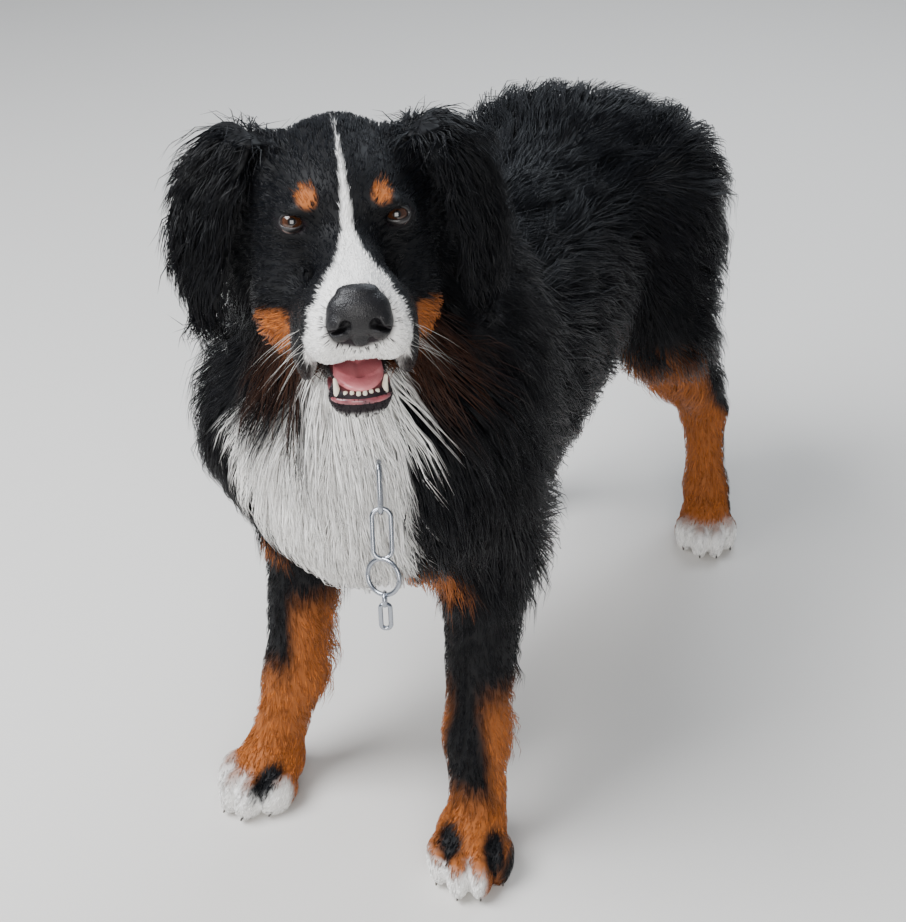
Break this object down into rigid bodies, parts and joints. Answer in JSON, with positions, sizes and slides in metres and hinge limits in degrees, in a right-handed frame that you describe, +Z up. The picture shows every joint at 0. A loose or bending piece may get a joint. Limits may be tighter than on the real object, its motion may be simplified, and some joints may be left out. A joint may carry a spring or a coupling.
{
  "type": "bernese mountain dog model",
  "caption": "Still, life-size model of a standing long-coated mountain dog with its head raised and turned to its left, mouth a little open, wearing a chain collar.",
  "frame": {"origin": "on the floor under the middle of the dog's length and width", "axes": "+Z up, the dog's body faces -Y, +X to the dog's left"},
  "size_m": [0.3818, 0.9658, 0.817],
  "materials": {
    "coat_black": "long black coat, slightly wavy, with a blue sheen",
    "coat_white": "white coat of the paws and tail tip",
    "coat_tan": "rust tan coat of the lower legs",
    "nose_leather": "moist black nose with a fine pebbled grain",
    "eye": "dark brown wet eye",
    "mouth_lining": "wet pink and dark lip and gum, with ivory teeth",
    "tongue": "moist pink tongue",
    "chain_steel": "polished steel wire"
  },
  "bodies": {
    "root": {"head": "coat_black", "neck": "coat_black", "chest": "coat_black", "loin": "coat_black", "rump": "coat_black", "tail_base": "coat_black", "foreleg_left": "coat_black", "foreleg_right": "coat_black", "thigh_left": "coat_black", "thigh_right": "coat_black", "ear_left": "coat_black", "ear_right": "coat_black", "forepaw_left": "coat_white", "forepaw_right": "coat_white", "hindpaw_left": "coat_white", "hindpaw_right": "coat_white", "tail_tip": "coat_white", "shank_left": "coat_tan", "shank_right": "coat_tan", "nose": "nose_leather", "eye_left": "eye", "eye_right": "eye", "lower_jaw": "mouth_lining", "tongue": "tongue", "chain_link_01": "chain_steel", "chain_link_02": "chain_steel", "chain_link_03": "chain_steel", "chain_link_04": "chain_steel", "chain_link_05": "chain_steel", "chain_link_06": "chain_steel", "chain_link_07": "chain_steel", "chain_link_08": "chain_steel", "chain_link_09": "chain_steel", "chain_link_10": "chain_steel", "chain_link_11": "chain_steel", "chain_link_12": "chain_steel", "chain_link_13": "chain_steel", "chain_link_14": "chain_steel", "chain_link_15": "chain_steel", "chain_link_16": "chain_steel", "chain_link_17": "chain_steel", "chain_link_18": "chain_steel", "chain_link_19": "chain_steel", "chain_link_20": "chain_steel", "chain_link_21": "chain_steel", "chain_link_22": "chain_steel", "chain_link_23": "chain_steel", "chain_link_24": "chain_steel", "chain_link_25": "chain_steel", "chain_link_26": "chain_steel", "drop_link_upper": "chain_steel", "drop_link_lower": "chain_steel", "drop_ring": "chain_steel"}
  },
  "joints": []
}
